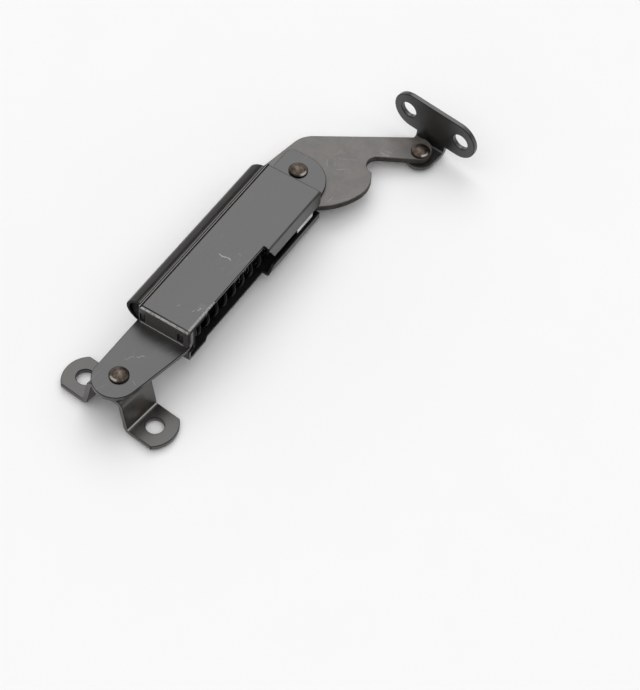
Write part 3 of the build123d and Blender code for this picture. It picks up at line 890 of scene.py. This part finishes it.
def coil_path(low, high, springs):
    """The wire's middle line: (r cos 2 pi t, height(t), r sin 2 pi t) on the solid's axis."""
    middle = (low + high) / 2
    radius = (high[0] - low[0]) / 2 - springs.wire / 2
    rise = high[1] - low[1] - springs.wire + 2 * springs.ground
    total = springs.active_turns + 2 * springs.end_turns
    turn = np.linspace(0, total, total * POINTS_PER_TURN + 1)
    angle = 2 * math.pi * turn
    return np.stack([middle[0] + radius * np.cos(angle),
                     low[1] + springs.wire / 2 - springs.ground + wire_height(turn, rise, springs),
                     middle[2] + radius * np.sin(angle)], -1)


class LIDSUPPORT_OT_springs(bpy.types.Operator):
    """Winds the two compression springs in dark wire darkened further as painted shade, ground flat
    at their ends
    """
    bl_idname = "lid_support.springs"
    bl_label = "Springs"

    def execute(self, context):
        springs = context.scene.lid_springs
        steel = plain_metal("spring_wire", WIRE_COLOUR_AND_SHADE, roughness=0.45, brush_turn=(0, 0, 0),
                            tone=0.2)
        for node in ("spring_left", "spring_right"):
            low, high = corners(node)
            piece = tube_piece(node + "_wound", coil_path(low, high, springs), springs.wire / 2)
            place = np.empty(len(piece.data.vertices) * 3)
            piece.data.vertices.foreach_get("co", place)
            place[1::3] = np.clip(place[1::3], low[1], high[1])
            piece.data.vertices.foreach_set("co", place)
            piece.data.update()
            paint(piece, [steel])
            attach(piece, CASE)
            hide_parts(node)
            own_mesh(piece)
        return {"FINISHED"}


# Studio

FLOOR_SIZE = 3.0
RIVET_FOOT_RADIUS = 0.0023
CAMERA_PLACE = (0.22729, -0.29376, 0.53022)
CAMERA_TURN = (36.48, -2.7465, 33.1247)
CAMERA_CLIP = (0.01, 20)
SENSOR_WIDTH = 36
LAMP_TOWARD = (-0.34, 0.50, 0.80)

# Sines of the elevations, about 16, 23, 32 and 40 degrees, between which the room's light changes
BACKDROP_END, BELT_START, BELT_END, CEILING_START = 0.276, 0.391, 0.530, 0.643


def resting_plane():
    """The table's point and normal.

    It meets the wall bracket's two wing edges and the lid rivet's foot."""
    across = Vector((math.cos(BRACKET_TURN), math.sin(BRACKET_TURN), 0))
    along = Vector((-across.y, across.x, 0))
    point = along * WING_EDGE
    low, high = corners("lid_rivet")
    foot = Vector(((low[0] + high[0]) / 2, (low[1] + high[1]) / 2, low[2]))
    reach = (foot - point).dot(along) + RIVET_FOOT_RADIUS
    slope = Vector((along.x * reach, along.y * reach, foot.z)).normalized()
    return point, across.cross(slope)


def light_the_room(scene, studio):
    """A plain room: pale backdrop near the horizon, a dim belt above it, then a pale ceiling.

    The light depends on the sine of the elevation alone."""
    world = bpy.data.worlds.new("room")
    scene.world = world
    world.use_nodes = True
    tree = world.node_tree
    room = next(n for n in tree.nodes if n.type == "BACKGROUND")
    room.inputs["Color"].default_value = (1, 1, 1, 1)
    way = tree.nodes.new("ShaderNodeTexCoord")
    height = axes(tree, way.outputs["Generated"])[2]
    low = levels(tree, height, BACKDROP_END, BELT_START, studio.backdrop_light, studio.wall_light)
    high = levels(tree, height, BELT_END, CEILING_START, 0.0,
                  studio.ceiling_light - studio.wall_light)
    tree.links.new(sums(tree, "ADD", low, high), room.inputs["Strength"])


class LIDSUPPORT_OT_stage(bpy.types.Operator):
    """Makes the pale table, the soft lamp, the plain room and the camera"""
    bl_idname = "lid_support.stage"
    bl_label = "Table, light and camera"

    def execute(self, context):
        studio = context.scene.lid_studio
        point, up = resting_plane()
        turn = up.to_track_quat("Z", "Y").to_matrix()
        half = FLOOR_SIZE / 2
        flat = np.array([[-half, -half, 0], [half, -half, 0], [half, half, 0], [-half, half, 0]])
        placed = flat @ np.array(turn).T + np.array(point)
        floor = mesh_piece("table", placed, [[0, 1, 2, 3]], smooth=False)
        floor.data.materials.append(table_finish(tuple(studio.floor_colour)))
        lamp = bpy.data.lights.new("soft_lamp", "SUN")
        lamp.energy = studio.lamp_strength
        lamp.angle = studio.lamp_spread
        lamp_object = bpy.data.objects.new("soft_lamp", lamp)
        lamp_object.rotation_euler = Vector(LAMP_TOWARD).to_track_quat("Z", "Y").to_euler()
        context.scene.collection.objects.link(lamp_object)
        light_the_room(context.scene, studio)
        camera = bpy.data.cameras.new("camera")
        camera.lens = studio.lens
        camera.sensor_width = SENSOR_WIDTH
        camera.clip_start, camera.clip_end = CAMERA_CLIP
        camera_object = bpy.data.objects.new("camera", camera)
        camera_object.location = CAMERA_PLACE
        camera_object.rotation_euler = Euler([math.radians(a) for a in CAMERA_TURN], "XYZ")
        context.scene.collection.objects.link(camera_object)
        context.scene.camera = camera_object
        context.scene.view_settings.view_transform = "Standard"
        return {"FINISHED"}


# Panel and registration

class LIDSUPPORT_PT_panel(bpy.types.Panel):
    """Lists the settings and the pieces of the lid support"""
    bl_idname = "LIDSUPPORT_PT_panel"
    bl_label = "Lid support"
    bl_space_type = "VIEW_3D"
    bl_region_type = "UI"
    bl_category = "Lid support"

    def draw(self, context):
        for settings in SETTINGS:
            group = getattr(context.scene, settings)
            box = self.layout.box()
            for name in group.__annotations__:
                box.prop(group, name)
        for operator in OPERATORS:
            self.layout.operator(operator.bl_idname)


SETTINGS = {"lid_finish": FinishSettings, "lid_springs": SpringSettings,
            "lid_studio": StudioSettings}
OPERATORS = (LIDSUPPORT_OT_case, LIDSUPPORT_OT_lever, LIDSUPPORT_OT_brackets, LIDSUPPORT_OT_inner,
             LIDSUPPORT_OT_rivets, LIDSUPPORT_OT_springs, LIDSUPPORT_OT_stage)
CLASSES = (*SETTINGS.values(), *OPERATORS, LIDSUPPORT_PT_panel)


def register():
    for item in CLASSES:
        bpy.utils.register_class(item)
    for name, group in SETTINGS.items():
        setattr(bpy.types.Scene, name, PointerProperty(type=group))


def unregister():
    for name in SETTINGS:
        delattr(bpy.types.Scene, name)
    for item in reversed(CLASSES):
        bpy.utils.unregister_class(item)


def main():
    register()
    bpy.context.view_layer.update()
    bpy.ops.lid_support.case()
    bpy.ops.lid_support.lever()
    bpy.ops.lid_support.brackets()
    bpy.ops.lid_support.inner()
    bpy.ops.lid_support.rivets()
    bpy.ops.lid_support.springs()
    bpy.ops.lid_support.stage()
    bpy.context.view_layer.update()


if __name__ == "__main__":
    main()
